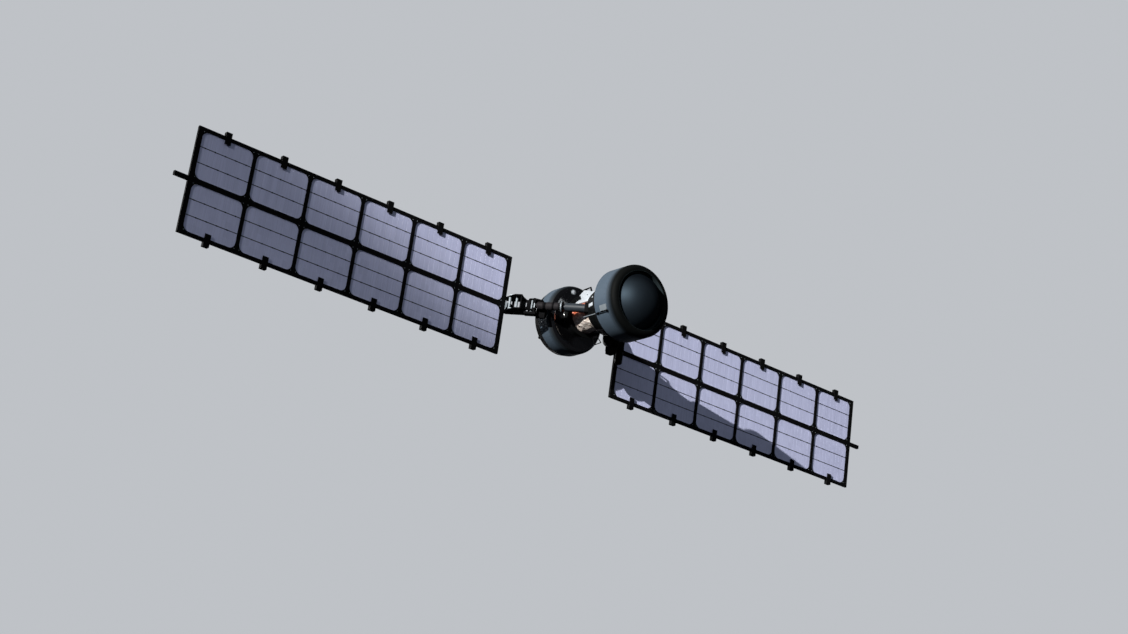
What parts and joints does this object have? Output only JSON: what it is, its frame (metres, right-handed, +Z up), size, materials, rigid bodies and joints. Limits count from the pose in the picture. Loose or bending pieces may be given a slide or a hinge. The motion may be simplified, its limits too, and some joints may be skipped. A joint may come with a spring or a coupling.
{
  "type": "satellite",
  "caption": "Free-flying satellite: two drums joined by a foil-wrapped bay, with a framed wing on a swept, hinged arm each side.",
  "frame": {"origin": "on the body's axis, level along it with the masts, which lie 110 mm below it; the aft drum's rear face is 48 mm behind", "axes": "+X along the right wing, -Y along the body towards the fore drum's dome, +Z up the wings' chord"},
  "size_m": [20.66, 3.664, 2.602],
  "materials": {
    "drum_side": "satin grey-blue thermal paint",
    "black_wrap": "matt black insulation",
    "mirror_black": "high gloss black",
    "bay_foil": "crinkled orange and cream foil",
    "frame_black": "matt black composite",
    "cell_film": "lavender grey film with fine lines",
    "pale_metal": "satin bright metal",
    "dark_metal": "dull black paint",
    "brown_metal": "satin dark brown",
    "tube_grey": "gloss grey-blue paint",
    "white_paint": "satin white paint",
    "bell_steel": "heat-tinted metal"
  },
  "bodies": {
    "hull": {"aft_band": "black_wrap", "aft_drum": "drum_side", "aft_face": "mirror_black", "foil_bay": "bay_foil", "fore_skirt": "black_wrap", "fore_drum": "drum_side", "fore_rim": "black_wrap", "fore_dome": "drum_side", "launch_ring": "pale_metal", "engine_bell": "bell_steel", "aft_thrusters": "bell_steel", "sensor_bracket": "white_paint", "bracket_hook": "dark_metal", "whip_stem": "pale_metal", "whip_tip": "dark_metal", "whip_clamps": "dark_metal", "side_sensor": "pale_metal", "left_root_block": "dark_metal", "left_arm_tube": "tube_grey", "left_arm_flange": "pale_metal", "left_arm_barrels": "brown_metal", "left_hinge_fork": "dark_metal", "left_hinge_pin": "pale_metal", "left_hinge_hood": "dark_metal", "left_hinge_keel": "dark_metal", "right_root_block": "dark_metal", "right_arm_tube": "tube_grey", "right_arm_flange": "pale_metal", "right_arm_barrels": "brown_metal", "right_hinge_fork": "dark_metal", "right_hinge_pin": "pale_metal", "right_hinge_hood": "dark_metal", "right_hinge_keel": "dark_metal"},
    "left_elbow": {"left_hinge_link": "dark_metal", "left_yoke": "pale_metal", "left_drive_housing": "dark_metal"},
    "left_wing": {"left_drive_shaft": "pale_metal", "left_wing_frame": "frame_black", "left_wing_panels": "cell_film", "left_wing_clips": "frame_black", "left_mast_tip": "frame_black"},
    "right_elbow": {"right_hinge_link": "dark_metal", "right_yoke": "pale_metal", "right_drive_housing": "dark_metal", "right_canister": "black_wrap"},
    "right_wing": {"right_drive_shaft": "pale_metal", "right_wing_frame": "frame_black", "right_wing_panels": "cell_film", "right_wing_clips": "frame_black", "right_mast_tip": "frame_black"}
  },
  "joints": [
    {"name": "left_wing_fold", "type": "hinge", "parent": "hull", "child": "left_elbow", "pos_m": [-1.28598, -0.50043, -0.07], "axis": [0, 0, -1], "range_deg": [-40, 50]},
    {"name": "left_wing_drive", "type": "hinge", "parent": "left_elbow", "child": "left_wing", "pos_m": [-1.702, 0, -0.11], "axis": [1, 0, 0], "continuous": true},
    {"name": "right_wing_fold", "type": "hinge", "parent": "hull", "child": "right_elbow", "pos_m": [1.28598, -0.50043, -0.07], "axis": [0, 0, 1], "range_deg": [-40, 50]},
    {"name": "right_wing_drive", "type": "hinge", "parent": "right_elbow", "child": "right_wing", "pos_m": [1.702, 0, -0.11], "axis": [1, 0, 0], "continuous": true}
  ]
}
